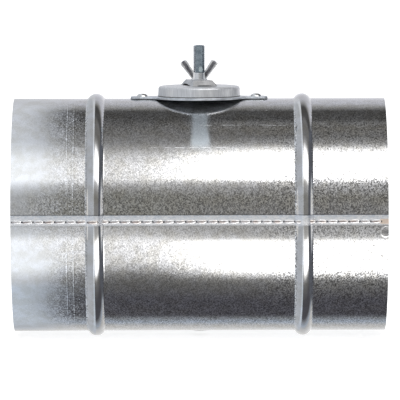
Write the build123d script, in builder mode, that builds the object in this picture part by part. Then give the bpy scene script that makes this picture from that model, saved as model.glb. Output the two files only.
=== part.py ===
from build123d import *

import os
from math import cos, degrees, radians, sin, sqrt

# Volume control damper for round duct: a short galvanised tube with a swaged stop bead near each
# end, a round butterfly blade inside on a vertical spindle, and a locking head on top, where a
# wing nut clamps a dial cap against a base plate riveted to the tube.
# The origin is the centre of the inlet mouth, +X runs along the tube to the outlet and +Z runs up
# the spindle.  The blade stands fully open, in line with the air.

os.makedirs("parts", exist_ok=True)

# ---- driving dimensions, millimetres --------------------------------------------------------

# tube
duct_length = 198.0
duct_radius = 62.3  # outside of the spigots, which push into a duct of 125 bore
sheet = 0.6
bead_inset = 44.0  # from each mouth to the middle of its bead
bead_height = 2.6
bead_half_width = 4.5
bead_foot_radius = 1.0

# lap seam of the rolled sheet, on the -Y side
lap_top = 4.4
lap_bottom = -1.5
lap_proud_outside = 0.15
lap_proud_inside = 0.35

# spindle and the bearings it turns in
spindle_x = duct_length / 2
stud_radius = 3.0
stud_flat = 2.3  # from the axis to each of the two flats
stud_top = 91.0
stud_dome = 0.7
bar_radius = 4.0
bar_flat = 3.2
bar_end = 22.0  # inner end of each slotted bar, from the tube's axis
bar_shoulder = 59.15
slot_end = 55.0
running_gap = 0.05
bush_bore = stud_radius + running_gap

# locking head, as heights above the tube's axis
plate_bottom = duct_radius
plate_thickness = 1.2
plate_rim_round = 0.5
plate_disc_radius = 24.0
plate_length = 73.3
ear_width = 12.0
rivet_spacing = 60.8
rivet_shank = 1.6
friction_thickness = 0.4
friction_radius = 21.9
friction_bore = 12.4
cap_radius = 22.0
cap_top = 69.0
cap_crown = 0.25
cap_sheet = 1.0
saddle_width = 14.6
saddle_depth = 22.0
saddle_height = 3.0
saddle_taper = 38.0
saddle_sheet = 0.9
saddle_turn = 15.6
washer_thickness = 0.5
washer_radius = 4.4

# wing nut
hub_radius = 3.9
hub_height = 3.4
wing_lean = 35.0
wing_width = 4.1
wing_root_width = 2.9
wing_length = 11.0
wing_depth = 4.0
wing_sheet = 0.8
wing_tip_x = 8.7
wing_tip_height = 9.5

# blade
blade_radius = 60.0
blade_thickness = 1.0
rib_length = 92.0
rib_width = 7.0
rib_height = 1.8
rib_place = 11.0
blade_notch_width = 17.0
blade_rivet_heights = (30.0, 48.0)

# ---- worked out from them -------------------------------------------------------------------

bore_radius = duct_radius - sheet
plate_top = plate_bottom + plate_thickness
friction_top = plate_top + friction_thickness
cap_bottom = friction_top + running_gap
saddle_bottom = cap_top + cap_crown + 0.02
saddle_top = saddle_bottom + saddle_height
washer_top = saddle_top + washer_thickness
hub_top = washer_top + hub_height

upright = Axis((spindle_x, 0, 0), (0, 0, 1))
profile_plane = Plane(origin=(spindle_x, 0, 0), x_dir=(1, 0, 0), z_dir=(0, -1, 0))


def level(height, turn=0.0):
    """A horizontal plane centred on the spindle, turned about it."""
    across = (cos(radians(turn)), sin(radians(turn)), 0)
    return Plane(origin=(spindle_x, 0, height), x_dir=across, z_dir=(0, 0, 1))


def radial_plane(angle):
    """A plane through the tube's axis, at an angle up from the -Y side."""
    return Plane(
        origin=(0, 0, 0),
        x_dir=(1, 0, 0),
        z_dir=(0, -sin(radians(angle)), -cos(radians(angle))),
    )


# ---- tube -----------------------------------------------------------------------------------


def beaded_line(radius, half_width):
    """One face of the wall from mouth to mouth, rising over both beads."""
    start = 0.0
    for centre in (bead_inset, duct_length - bead_inset):
        left = (centre - half_width, radius)
        right = (centre + half_width, radius)
        Line((start, radius), left)
        ThreePointArc(left, (centre, radius + bead_height), right)
        start = centre + half_width
    Line((start, radius), (duct_length, radius))


def wall_section(plane, outside, inside):
    """The sheet's section along the tube, with the feet of the beads rounded."""
    arc_radius = (bead_half_width**2 + bead_height**2) / (2 * bead_height)
    drop = arc_radius - bead_height
    inner_half_width = sqrt((arc_radius - sheet) ** 2 - (drop - sheet) ** 2)
    with BuildSketch(plane) as section:
        with BuildLine():
            beaded_line(outside, bead_half_width)
            beaded_line(inside, inner_half_width)
            for mouth in (0.0, duct_length):
                Line((mouth, inside), (mouth, outside))
        make_face()
        levels = section.vertices().group_by(Axis.Y)
        fillet(levels[-1].sort_by(Axis.X)[1:-1], bead_foot_radius)
        levels = section.vertices().group_by(Axis.Y)
        fillet(levels[0].sort_by(Axis.X)[1:-1], bead_foot_radius + sheet)
    return section.sketch


bush_hole = 6.0
lower_hole = 5.0

with BuildPart() as duct_shell:
    revolve(wall_section(radial_plane(90), duct_radius, bore_radius), axis=Axis.X)
    # the lap is a strip of the same section, a little proud of the sheet on both faces
    lap_start = degrees(lap_top / duct_radius)
    lap_arc = degrees((lap_top - lap_bottom) / duct_radius)
    revolve(
        wall_section(
            radial_plane(lap_start),
            duct_radius + lap_proud_outside,
            bore_radius - lap_proud_inside,
        ),
        axis=Axis.X,
        revolution_arc=lap_arc,
    )
    with BuildSketch(level(0)):
        Circle(bush_hole)
        with GridLocations(rivet_spacing, 0, 2, 1):
            Circle(rivet_shank + 0.05)
    extrude(amount=duct_radius + bead_height, mode=Mode.SUBTRACT)
    with BuildSketch(level(0)):
        Circle(lower_hole)
    extrude(amount=-(duct_radius + bead_height), mode=Mode.SUBTRACT)
duct_shell.part.label = "duct_shell"
export_step(duct_shell.part, "parts/duct_shell.step")

# ---- bearings -------------------------------------------------------------------------------

flange_radius = 9.0
flange_thickness = 1.0
snap_top = 61.1
bush_end = 60.2
seal_groove = 4.6
seal_bottom = 61.3
seal_height = 1.6

# nylon bush that snaps up through the plate and the sheet, grooved inside for the seal
with BuildPart() as upper_bush:
    with BuildSketch(profile_plane):
        with BuildLine():
            Polyline(
                (bush_bore, bush_end),
                (bush_hole - 0.3, bush_end),
                (bush_hole + 0.7, snap_top),
                (bush_hole - 0.05, snap_top),
                (bush_hole - 0.05, plate_top),
                (flange_radius, plate_top),
                (flange_radius, plate_top + flange_thickness),
                (bush_bore, plate_top + flange_thickness),
                (bush_bore, seal_bottom + seal_height),
                (seal_groove, seal_bottom + seal_height),
                (seal_groove, seal_bottom),
                (bush_bore, seal_bottom),
                close=True,
            )
        make_face()
    revolve(axis=upright)
upper_bush.part.label = "upper_bush"
export_step(upper_bush.part, "parts/upper_bush.step")

with BuildPart() as spindle_seal:
    with BuildSketch(profile_plane):
        with Locations((seal_groove - 0.76, seal_bottom + seal_height / 2)):
            Circle(0.74)
    revolve(axis=upright)
spindle_seal.part.label = "spindle_seal"
export_step(spindle_seal.part, "parts/spindle_seal.step")

# blind nylon cup, flush with the outside of the tube and held in by the pivot above it
lower_flange_top = -60.25
lower_flange_bottom = -61.2
lower_bore_end = -61.7

with BuildPart() as lower_bush:
    with BuildSketch(profile_plane):
        with BuildLine():
            Polyline(
                (0, lower_bore_end),
                (bush_bore, lower_bore_end),
                (bush_bore, lower_flange_top),
                (lower_hole + 2.0, lower_flange_top),
                (lower_hole + 2.0, lower_flange_bottom),
                (lower_hole - 0.05, lower_flange_bottom),
                (lower_hole - 0.05, -duct_radius),
                (0, -duct_radius),
                close=True,
            )
        make_face()
    revolve(axis=upright)
lower_bush.part.label = "lower_bush"
export_step(lower_bush.part, "parts/lower_bush.step")

thrust_thickness = 0.95
thrust_radius = 7.0

with BuildPart() as upper_thrust_washer:
    with BuildSketch(level(bar_shoulder)):
        Circle(thrust_radius)
        Circle(bush_bore, mode=Mode.SUBTRACT)
    extrude(amount=thrust_thickness)
upper_thrust_washer.part.label = "upper_thrust_washer"
export_step(upper_thrust_washer.part, "parts/upper_thrust_washer.step")

with BuildPart() as lower_thrust_washer:
    with BuildSketch(level(-bar_shoulder)):
        Circle(thrust_radius - 0.5)
        Circle(bush_bore, mode=Mode.SUBTRACT)
    extrude(amount=-thrust_thickness)
lower_thrust_washer.part.label = "lower_thrust_washer"
export_step(lower_thrust_washer.part, "parts/lower_thrust_washer.step")

# ---- spindle, pivot and blade ---------------------------------------------------------------

blade_rivet_shank = 1.5


def mill_slotted_bar(up):
    """Flats, the blade's slot and the rivet holes on a bar above (1) or below (-1) the axis."""
    with BuildSketch(level(up * bar_end)) as waste:
        Rectangle(3 * bar_radius, 3 * bar_radius)
        Rectangle(3 * bar_radius, 2 * bar_flat, mode=Mode.SUBTRACT)
        Rectangle(3 * bar_radius, blade_thickness)
    extrude(waste.sketch, amount=up * (slot_end - bar_end), mode=Mode.SUBTRACT)
    with BuildSketch(Plane.XZ) as holes:
        for height in blade_rivet_heights:
            with Locations((spindle_x, up * height)):
                Circle(blade_rivet_shank)
    extrude(holes.sketch, amount=bar_radius, both=True, mode=Mode.SUBTRACT)


with BuildPart() as spindle:
    with BuildSketch(profile_plane):
        with BuildLine():
            Line((0, bar_end), (bar_radius, bar_end))
            Line((bar_radius, bar_end), (bar_radius, bar_shoulder))
            Line((bar_radius, bar_shoulder), (stud_radius, bar_shoulder))
            Line((stud_radius, bar_shoulder), (stud_radius, stud_top - stud_dome))
            Spline(
                (stud_radius, stud_top - stud_dome),
                (stud_radius * 0.72, stud_top - 0.2),
                (0, stud_top),
                tangents=[(-0.3, 1), (-1, 0)],
            )
            Line((0, stud_top), (0, bar_end))
        make_face()
    revolve(axis=upright)
    mill_slotted_bar(1)
    # two flats along the whole stud, parallel to the blade, key the stop arm and the cap
    with BuildSketch(level(plate_top + flange_thickness + 0.05)):
        Rectangle(3 * bar_radius, 3 * bar_radius)
        Rectangle(3 * bar_radius, 2 * stud_flat, mode=Mode.SUBTRACT)
    extrude(amount=stud_top - plate_top, mode=Mode.SUBTRACT)
spindle.part.label = "spindle"
export_step(spindle.part, "parts/spindle.step")

with BuildPart() as lower_pivot:
    with BuildSketch(level(-bar_end)):
        Circle(bar_radius)
    extrude(amount=-(bar_shoulder - bar_end))
    with BuildSketch(level(-bar_shoulder)):
        Circle(stud_radius)
    extrude(amount=lower_bore_end + bar_shoulder + 0.2)
    mill_slotted_bar(-1)
lower_pivot.part.label = "lower_pivot"
export_step(lower_pivot.part, "parts/lower_pivot.step")

# round sheet disc, notched round both bearings and stiffened by two pressed ribs
with BuildPart() as blade:
    with BuildSketch(Plane.XZ.offset(-blade_thickness / 2)):
        with Locations((spindle_x, 0)):
            Circle(blade_radius)
        for end in (1, -1):
            with Locations((spindle_x, end * (slot_end + blade_radius) / 2)):
                Rectangle(blade_notch_width, blade_radius - slot_end, mode=Mode.SUBTRACT)
            for height in blade_rivet_heights:
                with Locations((spindle_x, end * height)):
                    Circle(blade_rivet_shank, mode=Mode.SUBTRACT)
    extrude(amount=blade_thickness)
    rib_places = [(spindle_x, rib_place), (spindle_x, -rib_place)]
    with BuildSketch(Plane.XZ.offset(blade_thickness / 2)):
        with Locations(*rib_places):
            SlotOverall(rib_length, rib_width)
    extrude(amount=rib_height, taper=35)
    with BuildSketch(Plane.XZ.offset(-blade_thickness / 2)):
        with Locations(*rib_places):
            SlotOverall(rib_length - blade_thickness, rib_width - blade_thickness)
    extrude(amount=rib_height, taper=35, mode=Mode.SUBTRACT)
blade.part.label = "blade"
export_step(blade.part, "parts/blade.step")


def solid_rivet(height):
    """A rivet across the bar, its two formed heads seated on the bar's flats."""
    head_radius = 2.6
    head_height = 1.3
    seat = Plane.XZ.offset(-bar_flat)
    with BuildSketch(seat) as shank:
        with Locations((spindle_x, height)):
            Circle(blade_rivet_shank - 0.02)
    extrude(shank.sketch, amount=2 * bar_flat)
    for face, way in ((-bar_flat, -1), (bar_flat, 1)):
        with BuildSketch(Plane.XZ.offset(face)) as head:
            with Locations((spindle_x, height)):
                Circle(head_radius)
        extrude(head.sketch, amount=way * head_height, taper=30)


with BuildPart() as upper_blade_rivets:
    for rivet_height in blade_rivet_heights:
        solid_rivet(rivet_height)
upper_blade_rivets.part.label = "upper_blade_rivets"
export_step(upper_blade_rivets.part, "parts/upper_blade_rivets.step")

with BuildPart() as lower_blade_rivets:
    for rivet_height in blade_rivet_heights:
        solid_rivet(-rivet_height)
lower_blade_rivets.part.label = "lower_blade_rivets"
export_step(lower_blade_rivets.part, "parts/lower_blade_rivets.step")

# ---- base plate and what sits on it ---------------------------------------------------------

lug_reach = 2.6
lug_inner = 9.3
lug_thickness = 1.0
lug_height = 2.3
arm_half_width = 2.0
lug_middle = lug_inner + lug_reach / 2
lug_side = arm_half_width + 0.1 + lug_thickness / 2

# flat plate on the crest of the tube: a disc with an ear each side, and two stop lugs bent up
with BuildPart() as base_plate:
    with BuildSketch(level(plate_bottom)) as outline:
        Rectangle(plate_length, ear_width)
        fillet(outline.vertices(), 4.0)
        Circle(plate_disc_radius)
        corners = outline.vertices().filter_by_position(Axis.Y, -ear_width / 2 - 0.01, ear_width / 2 + 0.01)
        inner = [v for v in corners if abs(abs(v.X) - sqrt(plate_disc_radius**2 - 36)) < 0.5]
        fillet(inner, 5.0)
        Circle(bush_hole, mode=Mode.SUBTRACT)
        with GridLocations(rivet_spacing, 0, 2, 1):
            Circle(rivet_shank + 0.05, mode=Mode.SUBTRACT)
    extrude(amount=plate_thickness)
    rim = base_plate.edges().filter_by(GeomType.CIRCLE).group_by(Axis.Z)[-1]
    fillet([edge for edge in rim if edge.radius == plate_disc_radius], plate_rim_round)
    for turn, side in ((0, -1), (90, 1)):
        with BuildSketch(level(plate_bottom, turn)):
            with Locations((lug_middle, side * (lug_side + 1.6))):
                Rectangle(lug_reach, 2.2)
        extrude(amount=plate_thickness, mode=Mode.SUBTRACT)
        with BuildSketch(level(plate_bottom, turn)):
            with Locations((lug_middle, side * lug_side)):
                Rectangle(lug_reach, lug_thickness)
        extrude(amount=plate_thickness + lug_height)
base_plate.part.label = "base_plate"
export_step(base_plate.part, "parts/base_plate.step")

# blind rivets: a domed head on the plate, a hollow shank and a bulb set under the sheet
rivet_head_radius = 3.0
rivet_head_height = 1.4
bulb_top = bore_radius - 0.1
bulb_end = bulb_top - 2.2
mandrel_radius = 0.9


def rivet_profile(x):
    """Plane through one rivet's axis, for turned profiles."""
    return Plane(origin=(x, 0, 0), x_dir=(1, 0, 0), z_dir=(0, -1, 0))


rivet_xs = [spindle_x - rivet_spacing / 2, spindle_x + rivet_spacing / 2]

with BuildPart() as plate_rivets:
    for rivet_x in rivet_xs:
        with BuildSketch(rivet_profile(rivet_x)):
            with BuildLine():
                head_top = plate_top + rivet_head_height
                Line((mandrel_radius, bulb_end), (rivet_shank + 0.5, bulb_end))
                Line((rivet_shank + 0.5, bulb_end), (rivet_shank + 0.9, bulb_top - 0.8))
                Line((rivet_shank + 0.9, bulb_top - 0.8), (rivet_shank, bulb_top))
                Line((rivet_shank, bulb_top), (rivet_shank, plate_top))
                Line((rivet_shank, plate_top), (rivet_head_radius, plate_top))
                ThreePointArc(
                    (rivet_head_radius, plate_top),
                    (rivet_head_radius * 0.78, plate_top + rivet_head_height * 0.72),
                    (mandrel_radius, head_top),
                )
                Line((mandrel_radius, head_top), (mandrel_radius, bulb_end))
            make_face()
        revolve(axis=Axis((rivet_x, 0, 0), (0, 0, 1)))
plate_rivets.part.label = "plate_rivets"
export_step(plate_rivets.part, "parts/plate_rivets.step")

# steel mandrels left in the rivets, each a broken stem on a ball that spread the bulb
with BuildPart() as rivet_mandrels:
    for rivet_x in rivet_xs:
        with BuildSketch(rivet_profile(rivet_x)):
            with BuildLine():
                Polyline(
                    (0, bulb_end - 1.4),
                    (1.0, bulb_end - 1.1),
                    (1.5, bulb_end - 0.02),
                    (mandrel_radius - 0.02, bulb_end - 0.02),
                    (mandrel_radius - 0.02, plate_top + 0.7),
                    (0, plate_top + 0.85),
                    close=True,
                )
            make_face()
        revolve(axis=Axis((rivet_x, 0, 0), (0, 0, 1)))
rivet_mandrels.part.label = "rivet_mandrels"
export_step(rivet_mandrels.part, "parts/rivet_mandrels.step")

with BuildPart() as friction_disc:
    with BuildSketch(level(plate_top)):
        Circle(friction_radius)
        Circle(friction_bore, mode=Mode.SUBTRACT)
    extrude(amount=friction_thickness)
friction_disc.part.label = "friction_disc"
export_step(friction_disc.part, "parts/friction_disc.step")


def keyed_hole():
    """The double-D hole that fits the stud and its two flats."""
    with BuildSketch(mode=Mode.PRIVATE) as hole:
        Circle(stud_radius + running_gap)
        Rectangle(3 * stud_radius, 2 * (stud_flat + running_gap), mode=Mode.INTERSECT)
    return hole.sketch


# keyed arm whose finger meets one lug with the blade open and the other with it shut
arm_bottom = plate_top + flange_thickness + 0.15

with BuildPart() as stop_arm:
    with BuildSketch(level(arm_bottom)):
        Circle(6.5)
        with Locations((6.0, 0)):
            Rectangle(11.8, 2 * arm_half_width)
        add(keyed_hole(), mode=Mode.SUBTRACT)
    extrude(amount=1.2)
stop_arm.part.label = "stop_arm"
export_step(stop_arm.part, "parts/stop_arm.step")

# drawn cap: a drafted wall, a rounded shoulder and a very slightly crowned top
wall_draft = 0.3
shoulder = 1.4

with BuildPart() as dial_cap:
    with BuildSketch(profile_plane) as cap_section:
        with BuildLine():
            foot = (cap_radius, cap_bottom)
            corner = (cap_radius - wall_draft, cap_top)
            inner_corner = (cap_radius - wall_draft - cap_sheet, cap_top - cap_sheet)
            inner_foot = (cap_radius - cap_sheet, cap_bottom)
            Line(foot, corner)
            Line(corner, (cap_radius * 0.7, cap_top + cap_crown * 0.8))
            Line((cap_radius * 0.7, cap_top + cap_crown * 0.8), (0, cap_top + cap_crown))
            Line((0, cap_top + cap_crown), (0, cap_top + cap_crown - cap_sheet))
            Line((0, cap_top + cap_crown - cap_sheet), inner_corner)
            Line(inner_corner, inner_foot)
            Line(inner_foot, foot)
        make_face()
        outer_corner = cap_section.vertices().sort_by(Axis.Y)[-3:].sort_by(Axis.X)[-1]
        fillet(outer_corner, shoulder)
    revolve(axis=upright)
    with BuildSketch(level(cap_bottom)):
        add(keyed_hole())
    extrude(amount=cap_top, mode=Mode.SUBTRACT)
dial_cap.part.label = "dial_cap"
export_step(dial_cap.part, "parts/dial_cap.step")

# ---- clamping stack -------------------------------------------------------------------------

# spring saddle: a pressed hollow pyramid on four corner feet, arched between them
with BuildPart() as spring_saddle:
    with BuildSketch(level(saddle_bottom, saddle_turn)) as footprint:
        Rectangle(saddle_width, saddle_depth)
        fillet(footprint.vertices(), 1.2)
    extrude(amount=saddle_height, taper=saddle_taper)
    slant_wall = saddle_sheet / cos(radians(saddle_taper))
    with BuildSketch(level(saddle_bottom, saddle_turn)) as hollow:
        Rectangle(saddle_width - 2 * slant_wall, saddle_depth - 2 * slant_wall)
        fillet(hollow.vertices(), 0.6)
    extrude(amount=saddle_height - saddle_sheet, taper=saddle_taper, mode=Mode.SUBTRACT)
    with BuildSketch(level(saddle_bottom, saddle_turn)):
        Circle(stud_radius + 0.2)
    extrude(amount=saddle_height, mode=Mode.SUBTRACT)
    for turn, arch, rise in ((saddle_turn, 13.0, 0.9), (saddle_turn + 90, 7.0, 0.5)):
        across = level(0, turn)
        side = Plane(origin=(spindle_x, 0, saddle_bottom), x_dir=across.y_dir, z_dir=across.x_dir)
        with BuildSketch(side) as opening:
            Rectangle(arch, 2 * rise)
            fillet(opening.vertices(), 0.4)
        extrude(amount=saddle_depth, both=True, mode=Mode.SUBTRACT)
spring_saddle.part.label = "spring_saddle"
export_step(spring_saddle.part, "parts/spring_saddle.step")

with BuildPart() as nut_washer:
    with BuildSketch(level(saddle_top)):
        Circle(washer_radius)
        Circle(stud_radius + 0.1, mode=Mode.SUBTRACT)
    extrude(amount=washer_thickness)
nut_washer.part.label = "nut_washer"
export_step(nut_washer.part, "parts/nut_washer.step")


def wing_plane(side):
    """Upright plane whose local Y runs out along one wing, at the middle of its free end."""
    lean = radians(wing_lean) * side
    return Plane(
        origin=(spindle_x + side * wing_tip_x, 0, washer_top + wing_tip_height),
        x_dir=(cos(lean), 0, -sin(lean)),
        z_dir=(0, -1, 0),
    )


def pressed_wing(side):
    """One wing: a channel open to the front, with rounded edges, narrowing towards the collar."""
    frame = wing_plane(side)
    tip = wing_width / 2
    root = wing_root_width / 2
    with BuildPart() as wing:
        with BuildSketch(frame) as blank:
            with BuildLine():
                Polyline((-root, -wing_length), (-tip, 0), (tip, 0), (root, -wing_length), close=True)
            make_face()
            fillet(blank.vertices().group_by(Axis.Y)[-1], 0.9)
        extrude(amount=wing_depth / 2, both=True)
        faces = wing.faces().sort_by(Axis.Y)
        fillet(faces[0].edges() + faces[-1].edges(), wing_sheet / 2)
        with BuildSketch(frame.offset(wing_sheet - wing_depth / 2)) as channel:
            with BuildLine():
                Polyline(
                    (wing_sheet - root, -wing_length - 1.0),
                    (wing_sheet - tip, -wing_sheet),
                    (tip - wing_sheet, -wing_sheet),
                    (root - wing_sheet, -wing_length - 1.0),
                    close=True,
                )
            make_face()
            fillet(channel.vertices().group_by(Axis.Y)[-1], 0.4)
        extrude(amount=wing_depth, mode=Mode.SUBTRACT)
    return wing.part


left_wing = pressed_wing(-1)
right_wing = pressed_wing(1)

# pressed wing nut: a threaded collar and two wings
with BuildPart() as wing_nut:
    with BuildSketch(level(washer_top)):
        Circle(hub_radius)
    extrude(amount=hub_height)
    add(left_wing)
    add(right_wing)
    with BuildSketch(level(washer_top)):
        Circle(bush_bore)
    extrude(amount=stud_top - washer_top, mode=Mode.SUBTRACT)
    # the wings' lower ends are trimmed level with the collar's base
    with BuildSketch(level(washer_top)):
        Circle(wing_length)
    extrude(amount=-wing_length, mode=Mode.SUBTRACT)
wing_nut.part.label = "wing_nut"
export_step(wing_nut.part, "parts/wing_nut.step")
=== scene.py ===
import math

import bmesh
import bpy
from mathutils import Matrix, Vector


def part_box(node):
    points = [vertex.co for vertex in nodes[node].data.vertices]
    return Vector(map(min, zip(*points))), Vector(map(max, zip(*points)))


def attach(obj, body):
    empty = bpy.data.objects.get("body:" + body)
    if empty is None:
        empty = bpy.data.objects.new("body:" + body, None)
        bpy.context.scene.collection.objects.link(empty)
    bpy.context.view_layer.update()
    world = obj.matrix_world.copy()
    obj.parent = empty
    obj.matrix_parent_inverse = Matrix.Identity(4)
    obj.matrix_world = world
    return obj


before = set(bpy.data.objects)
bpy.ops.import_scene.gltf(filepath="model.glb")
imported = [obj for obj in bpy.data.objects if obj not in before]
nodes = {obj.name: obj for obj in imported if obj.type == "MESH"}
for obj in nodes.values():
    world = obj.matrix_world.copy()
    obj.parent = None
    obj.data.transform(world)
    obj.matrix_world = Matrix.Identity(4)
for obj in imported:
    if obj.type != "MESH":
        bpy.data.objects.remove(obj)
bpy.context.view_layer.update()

# ---- where the damper's main features lie, read from its own solids --------------------------

duct_low, duct_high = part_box("duct_shell")
duct_length = duct_high[0] - duct_low[0]
middle_x = (duct_low[0] + duct_high[0]) / 2
bead_radius = -duct_low[2]
spindle_low, spindle_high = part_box("spindle")
spindle_x = (spindle_low[0] + spindle_high[0]) / 2
plate_low, plate_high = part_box("base_plate")
duct_radius = plate_low[2]
nut_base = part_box("wing_nut")[0][2]

# ---- measures that the boxes do not give, in metres -------------------------------------------

bead_inset = 0.044
bead_xs = (bead_inset, duct_length - bead_inset)
bead_height = 0.0026
bead_reach = 0.0052
roll_lines = ((-0.011, 0.0006), (0.011, 0.0006), (-0.0145, 0.0004))
lap_top = 0.0044
lap_bottom = -0.0015
weld_height = 0.00095
weld_pitch = 0.0057
weld_spot_size = (0.0033, 0.00022, 0.0010)
weld_last = duct_length - 0.0045
clinch_x = duct_length - 0.0015
clinch_z = -0.0043
clinch_radius = 0.0027
thread_pitch = 0.001
stud_radius = 0.003
collar_radius = 0.0038
wing_lean = math.radians(35.0)
wing_tip_x = 0.0087
wing_tip_height = 0.0095
crystal_size = 0.00050
crystal_lean = 0.036

# ---- small tools for building finishes --------------------------------------------------------


def socket_or_number(tree, socket, value):
    """Feeds an input from another node's output, or sets it to a plain number."""
    if isinstance(value, bpy.types.NodeSocket):
        tree.links.new(value, socket)
    else:
        socket.default_value = value


def calc(tree, operation, *values):
    """One step of arithmetic; returns its output."""
    step = tree.nodes.new("ShaderNodeMath")
    step.operation = operation
    for socket, value in zip(step.inputs, values):
        socket_or_number(tree, socket, value)
    return step.outputs[0]


def ease(tree, value, start, end, low=0.0, high=1.0):
    """Goes smoothly from low to high while value goes from start to end."""
    step = tree.nodes.new("ShaderNodeMapRange")
    step.interpolation_type = "SMOOTHSTEP"
    socket_or_number(tree, step.inputs["Value"], value)
    step.inputs["From Min"].default_value = start
    step.inputs["From Max"].default_value = end
    step.inputs["To Min"].default_value = low
    step.inputs["To Max"].default_value = high
    return step.outputs["Result"]


def line_at(tree, value, place, width):
    """1 where value is at place, falling off to 0 a width away on both sides."""
    away = calc(tree, "ABSOLUTE", calc(tree, "SUBTRACT", value, place))
    return ease(tree, away, 0.0, width, 1.0, 0.0)


def mixed(tree, share, first, second):
    """A colour between two others."""
    step = tree.nodes.new("ShaderNodeMix")
    step.data_type = "RGBA"
    socket_or_number(tree, step.inputs[0], share)
    for socket, value in ((step.inputs[6], first), (step.inputs[7], second)):
        if isinstance(value, tuple):
            value = (*value, 1.0)
        socket_or_number(tree, socket, value)
    return step.outputs[2]


def product(tree, first, *others):
    """Values multiplied together."""
    for value in others:
        first = calc(tree, "MULTIPLY", first, value)
    return first


def highest(tree, first, *others):
    """The largest of some values."""
    for value in others:
        first = calc(tree, "MAXIMUM", first, value)
    return first


def on_front(tree, y):
    """1 on the side of the seam and 0 on the far side."""
    return calc(tree, "LESS_THAN", y, 0.0)


def length_of(tree, first, second):
    """The length of a flat vector with two parts."""
    squares = calc(tree, "ADD", product(tree, first, first), product(tree, second, second))
    return calc(tree, "SQRT", squares)


def coordinates(tree, centre=(0.0, 0.0, 0.0), stretch=(1.0, 1.0, 1.0)):
    """Places on the piece, in metres from a centre, stretched along each axis."""
    place = tree.nodes.new("ShaderNodeTexCoord").outputs["Object"]
    shift = tree.nodes.new("ShaderNodeMapping")
    shift.vector_type = "POINT"
    shift.inputs["Location"].default_value = [-c * s for c, s in zip(centre, stretch)]
    shift.inputs["Scale"].default_value = stretch
    tree.links.new(place, shift.inputs["Vector"])
    return shift.outputs["Vector"]


def split(tree, vector):
    """The x, y and z of a vector."""
    step = tree.nodes.new("ShaderNodeSeparateXYZ")
    tree.links.new(vector, step.inputs[0])
    return step.outputs[0], step.outputs[1], step.outputs[2]


def mottle(tree, vector, scale, detail=2.0, roughness=0.5):
    """Cloudy variation from 0 to 1."""
    step = tree.nodes.new("ShaderNodeTexNoise")
    tree.links.new(vector, step.inputs["Vector"])
    step.inputs["Scale"].default_value = scale
    step.inputs["Detail"].default_value = detail
    step.inputs["Roughness"].default_value = roughness
    return step.outputs["Fac"]


def crystals(tree, place, size):
    """Small cells that each hold one random colour."""
    step = tree.nodes.new("ShaderNodeTexVoronoi")
    step.inputs["Scale"].default_value = 1.0 / size
    tree.links.new(place, step.inputs["Vector"])
    return step.outputs["Color"]


def leaning(tree, lean, amount):
    """The surface's normal, tipped by a random vector whose parts go from 0 to 1."""
    centred = tree.nodes.new("ShaderNodeVectorMath")
    centred.operation = "SUBTRACT"
    centred.inputs[1].default_value = (0.5, 0.5, 0.5)
    tree.links.new(lean, centred.inputs[0])
    tipped = tree.nodes.new("ShaderNodeVectorMath")
    tipped.operation = "SCALE"
    tree.links.new(centred.outputs[0], tipped.inputs[0])
    socket_or_number(tree, tipped.inputs["Scale"], amount)
    total = tree.nodes.new("ShaderNodeVectorMath")
    tree.links.new(tree.nodes.new("ShaderNodeNewGeometry").outputs["Normal"], total.inputs[0])
    tree.links.new(tipped.outputs[0], total.inputs[1])
    unit = tree.nodes.new("ShaderNodeVectorMath")
    unit.operation = "NORMALIZE"
    tree.links.new(total.outputs[0], unit.inputs[0])
    return unit.outputs[0]


def relief(tree, shader, *layers, normal=None):
    """Adds fine height to a surface; each layer is a height from 0 to 1 and its depth in metres."""
    for height, depth in layers:
        step = tree.nodes.new("ShaderNodeBump")
        step.inputs["Strength"].default_value = 1.0
        step.inputs["Distance"].default_value = depth
        tree.links.new(height, step.inputs["Height"])
        if normal is not None:
            tree.links.new(normal, step.inputs["Normal"])
        normal = step.outputs["Normal"]
    tree.links.new(normal, shader.inputs["Normal"])


def new_finish(name, metallic, roughness, colour):
    """A material with one main shader."""
    finish = bpy.data.materials.new(name)
    finish.use_nodes = True
    shader = finish.node_tree.nodes["Principled BSDF"]
    shader.inputs["Metallic"].default_value = metallic
    shader.inputs["Roughness"].default_value = roughness
    shader.inputs["Base Color"].default_value = (*colour, 1.0)
    return finish, finish.node_tree, shader


def coat(node_name, finish):
    """Gives one of the solids its finish."""
    piece = nodes[node_name]
    piece.data.materials.clear()
    piece.data.materials.append(finish)


# ---- finishes ---------------------------------------------------------------------------------


def painted_stud_reflection(tree, x, y, z):
    """Where a painted pale bluish reflection of the stud lies on the sheet, down the front from under the
    head.
    """
    uneven = mottle(tree, coordinates(tree, stretch=(1.0, 0.3, 0.3)), 260.0)
    wavy_x = calc(tree, "MULTIPLY_ADD", uneven, 0.003, x)
    across = ease(tree, line_at(tree, wavy_x, middle_x + 0.0020, 0.0095), 0.15, 0.85)
    upper = ease(tree, z, 0.0545, 0.0565, 1.0, 0.0)
    lower = ease(tree, z, 0.0360, 0.0420)
    return product(tree, across, upper, lower, on_front(tree, y))


def clinch_dimple(tree, x, y, z):
    """The raised ring and the sunk centre of the round clinch under the lap, by the outlet; the ring gets a
    painted highlight and the centre painted shade.
    """
    away = length_of(tree, calc(tree, "SUBTRACT", x, clinch_x), calc(tree, "SUBTRACT", z, clinch_z))
    lit_ring = line_at(tree, away, clinch_radius, 0.0006)
    shaded_dent = ease(tree, away, 0.0006, 0.0022, 1.0, 0.0)
    front = on_front(tree, y)
    return product(tree, lit_ring, front), product(tree, shaded_dent, front)


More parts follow.
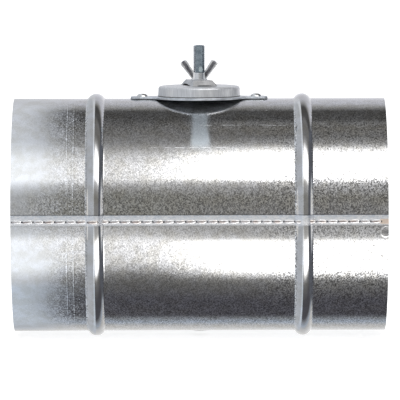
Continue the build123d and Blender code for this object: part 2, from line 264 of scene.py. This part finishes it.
def scuffs(tree, x, y, z):
    """Three long fine scuffs that stretch along the sheet above the seam."""
    sway = mottle(tree, coordinates(tree, stretch=(1.0, 0.02, 0.02)), 40.0)
    height = calc(tree, "MULTIPLY_ADD", sway, 0.0008, z)
    broken = mottle(tree, coordinates(tree, stretch=(1.0, 0.2, 0.2)), 220.0)
    lines = []
    for place, start, end in ((0.0576, 0.116, 0.142), (0.0504, 0.094, 0.150), (0.0394, 0.070, 0.150)):
        line = line_at(tree, height, place, 0.00028)
        fade_in = ease(tree, x, start, start + 0.01)
        fade_out = ease(tree, x, end - 0.01, end, 1.0, 0.0)
        lines.append(product(tree, line, fade_in, fade_out))
    return product(tree, highest(tree, *lines), ease(tree, broken, 0.42, 0.6), on_front(tree, y))


def crystal_strength(tree, x, z):
    """How strongly the zinc crystals show, from 0 to 1, over the sheet."""
    # the zinc is pressed smooth where the beads were rolled
    beads = highest(tree, *[line_at(tree, x, bead_x, 0.007) for bead_x in bead_xs])
    open_sheet = calc(tree, "SUBTRACT", 1.0, product(tree, ease(tree, beads, 0.3, 0.5), 0.9))
    # the inlet end is almost plain, apart from a belt along the seam
    plain_inlet = ease(tree, x, 0.014, 0.034, 0.12, 1.0)
    belt = product(tree, line_at(tree, z, 0.003, 0.028), ease(tree, x, 0.002, 0.022, 0.3, 0.9))
    # painted light: the grain is toned down in two strips towards the inlet, where the highlights fall
    highlight_strips = highest(tree, line_at(tree, z, 0.031, 0.026), line_at(tree, z, -0.020, 0.034))
    highlight_strips = product(tree, highlight_strips, ease(tree, x, 0.150, 0.120, 0.0, 1.0))
    calmer_in_highlights = ease(tree, highlight_strips, 0.0, 0.6, 1.0, 0.5)
    # the crest and the underside are the calmest
    crest = ease(tree, calc(tree, "ABSOLUTE", z), 0.052, 0.0595, 1.0, 0.35)
    return product(tree, open_sheet, highest(tree, plain_inlet, belt), calmer_in_highlights, crest)


def zinc_tone(tree, blotches, shade, strength):
    """Grey zinc in soft blotches, where each crystal is a little lighter or darker."""
    colour = mixed(tree, ease(tree, blotches, 0.35, 0.65), (0.60, 0.59, 0.57), (0.68, 0.68, 0.69))
    bright = product(tree, calc(tree, "SUBTRACT", shade, 0.52), strength)
    scaled = tree.nodes.new("ShaderNodeVectorMath")
    scaled.operation = "SCALE"
    tree.links.new(colour, scaled.inputs[0])
    tree.links.new(calc(tree, "MULTIPLY_ADD", bright, 1.4, 1.0), scaled.inputs["Scale"])
    return scaled.outputs[0]


def lap_tones(tree, colour, lap, x, z, front):
    """Light rough zinc on the lap, a heat tint by the outlet and a painted shadow line in the crease along
    the top edge.
    """
    flecks = mottle(tree, coordinates(tree, stretch=(0.4, 1.0, 1.0)), 1500.0, 2.0, 0.6)
    strip = mixed(tree, ease(tree, flecks, 0.4, 0.62), (0.74, 0.79, 0.86), (0.98, 0.98, 0.99))
    colour = mixed(tree, product(tree, lap, 0.85), colour, strip)
    halo = product(tree, lap, line_at(tree, z, weld_height - 0.0008, 0.0044))
    colour = mixed(tree, product(tree, halo, 0.85), colour, (0.98, 0.97, 0.97))
    heat = product(tree, ease(tree, x, weld_last - 0.0004, weld_last + 0.0005), front)
    heat = product(tree, heat, line_at(tree, z, weld_height, 0.0022))
    colour = mixed(tree, ease(tree, heat, 0.1, 0.6), colour, (0.86, 0.71, 0.60))
    # painted shadow line in the crease along the lap's top edge
    crease_shadow = product(tree, line_at(tree, z, lap_top + 0.0002, 0.0005), front)
    return mixed(tree, product(tree, crease_shadow, 0.65), colour, (0.16, 0.17, 0.19))


def galvanised_sheet():
    """Hot-dip zinc on rolled sheet: fine crystals, faint scratches and roll lines, a light lap."""
    finish, tree, shader = new_finish("galvanised_sheet", 1.0, 0.1, (0.66, 0.66, 0.67))
    place = coordinates(tree)
    x, y, z = split(tree, place)
    front = on_front(tree, y)
    above = ease(tree, z, lap_bottom - 0.0002, lap_bottom + 0.0014)
    below = ease(tree, z, lap_top, lap_top + 0.0001, 1.0, 0.0)
    lap = product(tree, above, below, front)

    crystal = crystals(tree, place, crystal_size)
    strength = crystal_strength(tree, x, z)
    blotches = mottle(tree, place, 160.0, 3.0, 0.6)
    clouds = mottle(tree, place, 28.0, 3.0, 0.5)
    hairlines = mottle(tree, coordinates(tree, stretch=(9.0, 700.0, 700.0)), 1.0, 2.0, 0.5)
    scratches = product(tree, ease(tree, hairlines, 0.66, 0.74), ease(tree, clouds, 0.5, 0.6))
    rolled = [line_at(tree, x, bead_x + side, width) for bead_x in bead_xs for side, width in roll_lines]

    colour = zinc_tone(tree, blotches, split(tree, crystal)[2], strength)
    colour = lap_tones(tree, colour, lap, x, z, front)
    lit_ring, shaded_dent = clinch_dimple(tree, x, y, z)
    # painted highlight on the clinch's raised ring and painted shade in its sunk centre
    colour = mixed(tree, product(tree, lit_ring, 0.6), colour, (0.94, 0.94, 0.95))
    colour = mixed(tree, product(tree, shaded_dent, 0.55), colour, (0.22, 0.22, 0.23))
    # painted reflection of the stud: a pale bluish, rougher patch down the front under the head
    stud_reflection = painted_stud_reflection(tree, x, y, z)
    colour = mixed(tree, product(tree, stud_reflection, 0.7), colour, (0.66, 0.74, 0.80))
    scuff = scuffs(tree, x, y, z)
    colour = mixed(tree, scuff, colour, (0.92, 0.92, 0.93))
    tree.links.new(colour, shader.inputs["Base Color"])

    rough = calc(tree, "MULTIPLY_ADD", blotches, 0.04, 0.07)
    rough = calc(tree, "MULTIPLY_ADD", lap, 0.32, rough)
    rough = calc(tree, "MULTIPLY_ADD", stud_reflection, 0.30, rough)
    rough = calc(tree, "MULTIPLY_ADD", scuff, 0.4, rough)
    tree.links.new(rough, shader.inputs["Roughness"])
    relief(
        tree,
        shader,
        (scratches, 0.000006),
        (highest(tree, *rolled), 0.000006),
        (calc(tree, "SUBTRACT", lit_ring, shaded_dent), 0.00003),
        normal=leaning(tree, crystal, product(tree, strength, crystal_lean)),
    )
    return finish


def drawn_zinc_cap():
    """Deep-drawn zinc-plated steel with upright draw marks on its wall."""
    finish, tree, shader = new_finish("drawn_zinc_cap", 0.6, 0.34, (0.72, 0.72, 0.73))
    streak_place = coordinates(tree, (middle_x, 0.0, 0.0), (1.0, 1.0, 0.05))
    streaks = mottle(tree, streak_place, 1600.0, 3.0, 0.6)
    spots = mottle(tree, coordinates(tree), 700.0, 2.0, 0.6)
    colour = mixed(tree, ease(tree, streaks, 0.35, 0.7), (0.60, 0.61, 0.63), (0.76, 0.77, 0.79))
    tree.links.new(colour, shader.inputs["Base Color"])
    tree.links.new(calc(tree, "MULTIPLY_ADD", spots, 0.2, 0.26), shader.inputs["Roughness"])
    relief(tree, shader, (streaks, 0.000012), (spots, 0.000006))
    return finish


def zinc_plate(name, colour, roughness, depth, metallic=1.0):
    """Bright plated steel with a fine orange-peel surface and a slightly worn, patchy tone."""
    finish, tree, shader = new_finish(name, metallic, roughness, colour)
    place = coordinates(tree)
    peel = mottle(tree, place, 1300.0, 3.0, 0.6)
    rub = mottle(tree, place, 210.0, 3.0, 0.6)
    wear_and_highlight = tuple(min(1.0, c * 1.18) for c in colour)
    dull_and_shade = tuple(c * 0.82 for c in colour)
    tree.links.new(mixed(tree, ease(tree, rub, 0.35, 0.65), dull_and_shade, wear_and_highlight), shader.inputs["Base Color"])
    tree.links.new(calc(tree, "MULTIPLY_ADD", rub, 0.12, roughness - 0.06), shader.inputs["Roughness"])
    relief(tree, shader, (peel, depth))
    return finish


def spring_steel():
    """Oiled spring steel, rolled in one direction."""
    finish, tree, shader = new_finish("spring_steel", 1.0, 0.3, (0.6, 0.6, 0.61))
    roll_place = coordinates(tree, (middle_x, 0.0, 0.0), (0.06, 1.0, 1.0))
    rolled = mottle(tree, roll_place, 1700.0, 2.0, 0.6)
    stain = mottle(tree, coordinates(tree), 260.0, 3.0, 0.6)
    colour = mixed(tree, ease(tree, stain, 0.35, 0.7), (0.50, 0.50, 0.51), (0.70, 0.70, 0.71))
    tree.links.new(colour, shader.inputs["Base Color"])
    tree.links.new(calc(tree, "MULTIPLY_ADD", stain, 0.15, 0.22), shader.inputs["Roughness"])
    relief(tree, shader, (rolled, 0.000008))
    return finish


def threaded_blue_zinc():
    """Blue zinc on the spindle, with a rolled thread on the round sides of its stud, painted shade in the
    thread's roots, a painted highlight down the stud's left side and a painted bluish glint just above the
    nut.
    """
    finish, tree, shader = new_finish("threaded_blue_zinc", 1.0, 0.25, (0.50, 0.57, 0.63))
    place = coordinates(tree, (spindle_x, 0.0, 0.0))
    x, y, z = split(tree, place)
    turn = calc(tree, "DIVIDE", calc(tree, "ARCTAN2", y, x), 2 * math.pi)
    lift = calc(tree, "SUBTRACT", calc(tree, "DIVIDE", z, thread_pitch), turn)
    crest = product(tree, calc(tree, "PINGPONG", lift, 0.5), 2.0)
    stud = ease(tree, z, plate_high[2] + 0.0005, plate_high[2] + 0.002)
    outer = ease(tree, length_of(tree, x, y), stud_radius - 0.00015, stud_radius - 0.00003)
    threaded = product(tree, stud, outer)

    blotch = mottle(tree, place, 420.0, 3.0, 0.6)
    colour = mixed(tree, ease(tree, blotch, 0.35, 0.65), (0.30, 0.37, 0.43), (0.44, 0.52, 0.58))
    # painted shade in the thread's roots
    root_shade = product(tree, calc(tree, "SUBTRACT", 1.0, crest), threaded)
    colour = mixed(tree, product(tree, root_shade, 0.6), colour, (0.20, 0.23, 0.26))
    # painted highlight: the stud's left side is painted lighter
    colour = mixed(tree, ease(tree, x, -0.0021, -0.0017, 0.8, 0.0), colour, (0.80, 0.83, 0.86))
    # painted glint: a pale bluish patch on the stud just above the nut
    glint_x = line_at(tree, x, 0.0009, 0.0016)
    glint_z = line_at(tree, z, nut_base + 0.0052, 0.0022)
    glint = ease(tree, product(tree, glint_x, glint_z), 0.1, 0.5)
    colour = mixed(tree, glint, colour, (0.78, 0.90, 0.94))
    tree.links.new(colour, shader.inputs["Base Color"])
    tree.links.new(calc(tree, "MULTIPLY_ADD", blotch, 0.16, 0.2), shader.inputs["Roughness"])
    relief(tree, shader, (product(tree, crest, threaded), 0.0005), (mottle(tree, place, 1500.0), 0.000006))
    return finish


def moulded_nylon():
    """Natural nylon, slightly uneven, with a satin moulded skin."""
    finish, tree, shader = new_finish("moulded_nylon", 0.0, 0.45, (0.72, 0.70, 0.64))
    place = coordinates(tree)
    cloud = mottle(tree, place, 300.0, 3.0, 0.5)
    colour = mixed(tree, cloud, (0.66, 0.64, 0.57), (0.78, 0.76, 0.71))
    tree.links.new(colour, shader.inputs["Base Color"])
    tree.links.new(calc(tree, "MULTIPLY_ADD", cloud, 0.15, 0.38), shader.inputs["Roughness"])
    relief(tree, shader, (mottle(tree, place, 2500.0), 0.000008))
    return finish


def pressed_fibre():
    """Grey friction fibre, matt and flecked."""
    finish, tree, shader = new_finish("pressed_fibre", 0.0, 0.85, (0.16, 0.16, 0.16))
    place = coordinates(tree)
    fleck = mottle(tree, place, 1800.0, 4.0, 0.7)
    colour = mixed(tree, ease(tree, fleck, 0.45, 0.65), (0.11, 0.11, 0.11), (0.28, 0.27, 0.25))
    tree.links.new(colour, shader.inputs["Base Color"])
    relief(tree, shader, (fleck, 0.00003))
    return finish


def seal_rubber():
    """Black rubber with a faint bloom."""
    finish, tree, shader = new_finish("seal_rubber", 0.0, 0.6, (0.03, 0.03, 0.032))
    bloom = mottle(tree, coordinates(tree), 500.0, 3.0, 0.6)
    colour = mixed(tree, ease(tree, bloom, 0.5, 0.8), (0.022, 0.022, 0.024), (0.07, 0.07, 0.072))
    tree.links.new(colour, shader.inputs["Base Color"])
    relief(tree, shader, (mottle(tree, coordinates(tree), 2000.0), 0.00001))
    return finish


def welded_zinc():
    """Seam weld spots: silver, with a dark pit at the start of each and a thin brown scale line."""
    finish, tree, shader = new_finish("welded_zinc", 1.0, 0.38, (0.9, 0.89, 0.88))
    place = coordinates(tree)
    x, y, z = split(tree, place)
    along = calc(tree, "FRACT", calc(tree, "DIVIDE", x, weld_pitch))
    uneven = mottle(tree, place, 190.0, 2.0, 0.6)
    pit = product(tree, line_at(tree, along, 0.09, 0.13), line_at(tree, z, weld_height + 0.0001, 0.0009))
    scale = product(
        tree,
        ease(tree, along, 0.10, 0.20),
        ease(tree, along, 0.66, 0.88, 1.0, 0.0),
        line_at(tree, z, weld_height - 0.0001, 0.0006),
        ease(tree, uneven, 0.25, 0.6, 0.35, 0.95),
    )
    heat = ease(tree, x, weld_last - 0.0015, weld_last + 0.0015)
    warm = highest(tree, product(tree, ease(tree, uneven, 0.5, 0.62), 0.45), heat)
    colour = mixed(tree, warm, (0.90, 0.89, 0.89), (0.88, 0.74, 0.64))
    colour = mixed(tree, scale, colour, (0.30, 0.23, 0.21))
    colour = mixed(tree, pit, colour, (0.05, 0.05, 0.055))
    tree.links.new(colour, shader.inputs["Base Color"])
    relief(tree, shader, (calc(tree, "SUBTRACT", 1.0, pit), 0.0001), (mottle(tree, place, 1400.0), 0.00002))
    return finish


def pressed_nut_zinc():
    """Wing nut in patchy zinc: painted highlights on the wings' rims, painted shade in their channels, a
    collar painted lighter on its left side than its right, and a painted shadow beside the collar.
    """
    finish, tree, shader = new_finish("pressed_nut_zinc", 0.8, 0.24, (0.8, 0.8, 0.81))
    place = coordinates(tree, (spindle_x, 0.0, nut_base))
    x, y, z = split(tree, place)
    side = calc(tree, "ABSOLUTE", x)
    out = product(tree, calc(tree, "SUBTRACT", side, wing_tip_x), math.cos(wing_lean))
    up = product(tree, calc(tree, "SUBTRACT", z, wing_tip_height), math.sin(wing_lean))
    across = calc(tree, "ABSOLUTE", calc(tree, "SUBTRACT", out, up))
    # painted highlight on the wings' rims and painted shade in their channels
    wings = ease(tree, side, collar_radius - 0.0004, collar_radius + 0.0004)
    channel_shade = product(tree, ease(tree, across, 0.0006, 0.0011, 1.0, 0.0), wings)

    rub = mottle(tree, place, 420.0, 3.0, 0.6)
    patchy = ease(tree, rub, 0.35, 0.65)
    # the collar is painted lighter on its left side and darker on its right, as shading
    collar_light_and_shade = mixed(tree, ease(tree, x, -0.001, 0.001), (0.86, 0.86, 0.87), (0.62, 0.64, 0.66))
    wear_and_highlight = mixed(tree, patchy, (0.84, 0.84, 0.86), (0.98, 0.98, 0.98))
    dull_and_shade = mixed(tree, patchy, (0.16, 0.16, 0.19), (0.42, 0.42, 0.45))
    colour = mixed(tree, wings, collar_light_and_shade, wear_and_highlight)
    colour = mixed(tree, channel_shade, colour, dull_and_shade)
    # painted shadow beside the collar, at the root of the right wing
    pinch_shadow = product(tree, line_at(tree, x, 0.0036, 0.0011), line_at(tree, z, 0.0028, 0.0020))
    colour = mixed(tree, product(tree, pinch_shadow, 0.85), colour, (0.10, 0.09, 0.10))
    tree.links.new(colour, shader.inputs["Base Color"])
    tree.links.new(calc(tree, "MULTIPLY_ADD", rub, 0.16, 0.16), shader.inputs["Roughness"])
    relief(tree, shader, (mottle(tree, place, 1300.0, 3.0, 0.6), 0.00001))
    return finish


galvanised = galvanised_sheet()
nylon = moulded_nylon()
bright_zinc = zinc_plate("bright_zinc", (0.72, 0.73, 0.75), 0.26, 0.000008, 0.7)
plate_zinc = zinc_plate("plate_zinc", (0.60, 0.63, 0.67), 0.34, 0.00001, 0.7)
rivet_zinc = zinc_plate("rivet_zinc", (0.74, 0.74, 0.73), 0.24, 0.000008)
dull_steel = zinc_plate("dull_steel", (0.42, 0.42, 0.43), 0.38, 0.00001)

finish_of = {
    "duct_shell": galvanised,
    "blade": galvanised,
    "base_plate": plate_zinc,
    "plate_rivets": rivet_zinc,
    "rivet_mandrels": dull_steel,
    "upper_bush": nylon,
    "lower_bush": nylon,
    "upper_thrust_washer": nylon,
    "lower_thrust_washer": nylon,
    "spindle_seal": seal_rubber(),
    "friction_disc": pressed_fibre(),
    "dial_cap": drawn_zinc_cap(),
    "stop_arm": bright_zinc,
    "spring_saddle": spring_steel(),
    "spindle": threaded_blue_zinc(),
    "lower_pivot": bright_zinc,
    "upper_blade_rivets": dull_steel,
    "lower_blade_rivets": dull_steel,
    "nut_washer": bright_zinc,
    "wing_nut": pressed_nut_zinc(),
}
for node_name, finish in finish_of.items():
    coat(node_name, finish)

# ---- weld spots along the lap -----------------------------------------------------------------


def linked(name, data):
    """A new object, in the scene, with this mesh, light or camera data."""
    piece = bpy.data.objects.new(name, data)
    bpy.context.scene.collection.objects.link(piece)
    return piece


def weld_spots():
    """A row of low overlapping spots along the lap, each a flattened dome lying on the sheet."""
    shape = bmesh.new()
    slope = math.asin(weld_height / duct_radius)
    tilt = Matrix.Rotation(-slope, 3, "X")
    for index in range(int(duct_length / weld_pitch)):
        centre_x = duct_low[0] + (index + 0.5) * weld_pitch + 0.0005
        reach = duct_radius + 0.00010
        for bead_x in bead_xs:
            away = abs(centre_x - bead_x) / bead_reach
            if away < 1:
                reach += bead_height * (1 - away**2)
        spot = bmesh.ops.create_uvsphere(shape, u_segments=10, v_segments=6, radius=1.0)["verts"]
        bmesh.ops.scale(shape, vec=weld_spot_size, verts=spot)
        bmesh.ops.rotate(shape, cent=(0, 0, 0), matrix=tilt, verts=spot)
        shift = (centre_x, -reach * math.cos(slope), reach * math.sin(slope))
        bmesh.ops.translate(shape, vec=shift, verts=spot)
    bmesh.ops.recalc_face_normals(shape, faces=shape.faces)
    for face in shape.faces:
        face.smooth = True
    mesh = bpy.data.meshes.new("seam_weld")
    shape.to_mesh(mesh)
    shape.free()
    mesh.materials.append(welded_zinc())
    piece = linked("seam_weld", mesh)
    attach(piece, "duct")


weld_spots()

# ---- studio: floor, surround, lamp, camera ----------------------------------------------------


def pale_floor():
    """A wide pale floor under the beads, which keeps the damper's shadow."""
    shape = bmesh.new()
    bmesh.ops.create_grid(shape, x_segments=1, y_segments=1, size=9.0)
    bmesh.ops.translate(shape, vec=(middle_x, 0.0, -bead_radius), verts=shape.verts)
    mesh = bpy.data.meshes.new("floor")
    shape.to_mesh(mesh)
    shape.free()
    floor = linked("floor", mesh)
    finish, tree, shader = new_finish("pale_floor", 0.0, 0.9, (0.86, 0.86, 0.86))
    shader.inputs["Specular IOR Level"].default_value = 0.0
    glow = tree.nodes.new("ShaderNodeEmission")
    path = tree.nodes.new("ShaderNodeLightPath")
    y = split(tree, coordinates(tree))[1]
    backdrop = ease(tree, y, 0.1, 2.0, 0.74, 0.88)
    tree.links.new(product(tree, path.outputs["Is Camera Ray"], backdrop), glow.inputs["Strength"])
    both = tree.nodes.new("ShaderNodeAddShader")
    tree.links.new(shader.outputs[0], both.inputs[0])
    tree.links.new(glow.outputs[0], both.inputs[1])
    tree.links.new(both.outputs[0], tree.nodes["Material Output"].inputs["Surface"])
    mesh.materials.append(finish)
    floor.visible_glossy = False


# the surround is a long drum about the duct's axis, lit in bands
surround_radius = 0.9
surround_reach = 4.0
surround_power = 3.0


def band(tree, height, stops):
    """Light of the surround by degrees up round the drum from the front, from a list of levels."""
    ramp = tree.nodes.new("ShaderNodeValToRGB")
    ramp.color_ramp.interpolation = "LINEAR"
    points = ramp.color_ramp.elements
    while len(points) > 1:
        points.remove(points[-1])
    for index, (degrees, level) in enumerate(stops):
        place = (degrees + 180.0) / 360.0
        point = points[0] if index == 0 else points.new(place)
        point.position = place
        shade = level if isinstance(level, tuple) else (level, level, level)
        point.color = (*[value / surround_power for value in shade], 1.0)
    tree.links.new(height, ramp.inputs["Fac"])
    return ramp.outputs["Color"]


# each stop: degrees up from the front, then a grey level or a colour
right_bands = (
    (-180, 1.7),
    (-160, 0.9),
    (-136, 0.62),
    (-126, (0.44, 0.50, 0.59)),
    (-118, (0.29, 0.31, 0.34)),
    (-111, (0.095, 0.095, 0.11)),
    (-86, (0.10, 0.10, 0.115)),
    (-66, 0.20),
    (-60, 0.36),
    (-54, 1.5),
    (-50, 3.0),
    (-23, 3.0),
    (-18, 0.74),
    (-12, 0.50),
    (8, 0.29),
    (20, (0.275, 0.27, 0.25)),
    (28, 0.41),
    (35, 0.68),
    (40, 3.0),
    (63, 3.0),
    (69, 1.4),
    (75, 0.44),
    (84, 0.21),
    (96, (0.20, 0.195, 0.185)),
    (103, 0.22),
    (109, 0.10),
    (125, 0.09),
    (133, 0.36),
    (142, (0.60, 0.61, 0.66)),
    (160, (0.72, 0.73, 0.79)),
    (175, (1.00, 1.00, 1.04)),
)
middle_bands = (
    (-180, 1.7),
    (-160, 0.9),
    (-136, 0.62),
    (-126, (0.44, 0.50, 0.59)),
    (-118, (0.30, 0.32, 0.35)),
    (-111, (0.11, 0.11, 0.125)),
    (-84, (0.10, 0.10, 0.115)),
    (-63, 0.17),
    (-56, 0.25),
    (-49, 0.50),
    (-41, 0.95),
    (-20, 1.25),
    (-14, 0.80),
    (-8, 0.50),
    (8, (0.27, 0.27, 0.25)),
    (24, (0.29, 0.29, 0.27)),
    (32, 0.52),
    (38, 1.1),
    (50, 1.1),
    (60, 0.86),
    (68, 0.58),
    (77, 0.30),
    (96, 0.19),
    (110, 0.10),
    (125, 0.09),
    (133, 0.36),
    (142, (0.60, 0.61, 0.66)),
    (160, (0.72, 0.73, 0.78)),
    (175, (0.90, 0.90, 0.95)),
)
left_bands = (
    (-180, 1.3),
    (-160, 0.75),
    (-140, (0.58, 0.62, 0.68)),
    (-118, (0.74, 0.82, 0.92)),
    (-70, (0.74, 0.83, 0.94)),
    (-60, (0.92, 0.97, 1.04)),
    (-48, (1.40, 1.48, 1.58)),
    (-20, (1.40, 1.46, 1.54)),
    (-14, (0.92, 0.97, 1.03)),
    (-6, (0.61, 0.64, 0.68)),
    (8, (0.56, 0.58, 0.60)),
    (22, (0.57, 0.59, 0.61)),
    (30, (0.87, 0.91, 0.96)),
    (38, (1.50, 1.57, 1.65)),
    (58, (1.40, 1.47, 1.55)),
    (70, (1.05, 1.11, 1.18)),
    (80, (0.88, 0.93, 1.00)),
    (130, (0.84, 0.88, 0.94)),
    (150, (0.70, 0.72, 0.76)),
    (175, (0.70, 0.72, 0.76)),
)
end_card = (0.19, 0.20, 0.215)
dark_flag = (0.045, 0.048, 0.056)


def surround_light(tree):
    """Three sets of bands that blend along the duct, then a plain card and a dark flag past its ends."""
    x, y, z = split(tree, coordinates(tree))
    height = calc(tree, "ARCTAN2", z, calc(tree, "MULTIPLY", y, -1.0))
    height = calc(tree, "MULTIPLY_ADD", height, 1 / (2 * math.pi), 0.5)
    turn = calc(tree, "MULTIPLY_ADD", height, 360.0, -180.0)
    left = band(tree, height, left_bands)
    middle = band(tree, height, middle_bands)
    right = band(tree, height, right_bands)

    # the left set reaches further in at the low softbox, and less far at the dark bands
    dark = highest(tree, line_at(tree, turn, -88.0, 34.0), line_at(tree, turn, 105.0, 34.0))
    low_box = line_at(tree, turn, -46.0, 18.0)
    start = calc(tree, "MULTIPLY_ADD", dark, 0.003, calc(tree, "MULTIPLY_ADD", low_box, -0.007, x))
    colour = mixed(tree, ease(tree, start, -0.028, 0.016), left, middle)

    # the right set starts further out at the outer edges of both softboxes
    edges = highest(tree, line_at(tree, turn, 67.0, 16.0), line_at(tree, turn, -52.0, 18.0))
    start = calc(tree, "MULTIPLY_ADD", edges, -0.018, x)
    colour = mixed(tree, ease(tree, start, 0.05, 0.13), colour, right)

    colour = mixed(tree, ease(tree, x, -0.20, -0.12, 1.0, 0.0), colour, end_card)
    colour = mixed(tree, ease(tree, x, 0.82, 1.10), colour, dark_flag)
    return mixed(tree, ease(tree, x, 2.4, 3.2), colour, end_card)


def studio_surround():
    """Softboxes and dark flags round the damper, which only its polished metal shows."""
    shape = bmesh.new()
    start = shape.verts.new((middle_x - surround_reach, -surround_radius, 0.0))
    end = shape.verts.new((middle_x + surround_reach, -surround_radius, 0.0))
    edge = shape.edges.new((start, end))
    bmesh.ops.spin(
        shape,
        geom=[start, end, edge],
        cent=(0, 0, 0),
        axis=(1, 0, 0),
        angle=2 * math.pi,
        steps=96,
        use_merge=True,
    )
    mesh = bpy.data.meshes.new("surround")
    shape.to_mesh(mesh)
    shape.free()
    surround = linked("surround", mesh)
    finish = bpy.data.materials.new("softboxes_and_flags")
    finish.use_nodes = True
    tree = finish.node_tree
    tree.nodes.remove(tree.nodes["Principled BSDF"])
    glow = tree.nodes.new("ShaderNodeEmission")
    tree.links.new(surround_light(tree), glow.inputs["Color"])
    glow.inputs["Strength"].default_value = surround_power
    tree.links.new(glow.outputs[0], tree.nodes["Material Output"].inputs["Surface"])
    mesh.materials.append(finish)
    surround.visible_camera = False
    surround.visible_diffuse = False
    surround.visible_shadow = False
    surround.visible_volume_scatter = False


def studio_world():
    """White for the camera and for polished metal, and a soft even light on everything else."""
    world = bpy.data.worlds.new("studio")
    bpy.context.scene.world = world
    world.use_nodes = True
    tree = world.node_tree
    path = tree.nodes.new("ShaderNodeLightPath")
    seen = calc(tree, "ADD", path.outputs["Is Camera Ray"], path.outputs["Is Glossy Ray"])
    seen = calc(tree, "MINIMUM", calc(tree, "ADD", seen, path.outputs["Is Transmission Ray"]), 1.0)
    plain_level = 0.45
    backdrop = tree.nodes["Background"]
    backdrop.inputs["Color"].default_value = (1.0, 1.0, 1.0, 1.0)
    level = calc(tree, "MULTIPLY_ADD", seen, 1.0 - plain_level, plain_level)
    tree.links.new(level, backdrop.inputs["Strength"])


def soft_lamp(name, place, size, power):
    """A square soft lamp aimed at the damper."""
    data = bpy.data.lights.new(name, "AREA")
    data.shape = "SQUARE"
    data.size = size
    data.energy = power
    lamp = linked(name, data)
    lamp.location = place
    aim = Vector((middle_x, 0.0, 0.0)) - Vector(place)
    lamp.rotation_euler = aim.to_track_quat("-Z", "Y").to_euler()
    lamp.visible_glossy = False


def studio_camera(lift, distance, lens, aim_above, aim_right, roll):
    """A long lens a little above the axis, square to the duct's side."""
    axis_point = Vector((middle_x + aim_right, 0.0, 0.0))
    towards = Vector((0.0, math.cos(lift), -math.sin(lift)))
    upward = Vector((0.0, math.sin(lift), math.cos(lift)))
    data = bpy.data.cameras.new("camera")
    data.sensor_width = 36.0
    data.lens = lens
    data.clip_end = 50.0
    camera = linked("camera", data)
    camera.location = axis_point - towards * distance
    aim = axis_point + upward * aim_above - camera.location
    turn = aim.to_track_quat("-Z", "Y").to_matrix().to_4x4()
    camera.rotation_euler = (turn @ Matrix.Rotation(roll, 4, "Z")).to_euler()
    bpy.context.scene.camera = camera


pale_floor()
studio_surround()
studio_world()
soft_lamp("key_lamp", (middle_x + 0.2, -0.7, 1.5), 1.2, 18.0)
studio_camera(
    lift=math.radians(4.5),
    distance=2.44,
    lens=409.3,
    aim_above=0.0077,
    aim_right=0.0003,
    roll=math.radians(-0.17),
)
bpy.context.scene.view_settings.view_transform = "Standard"
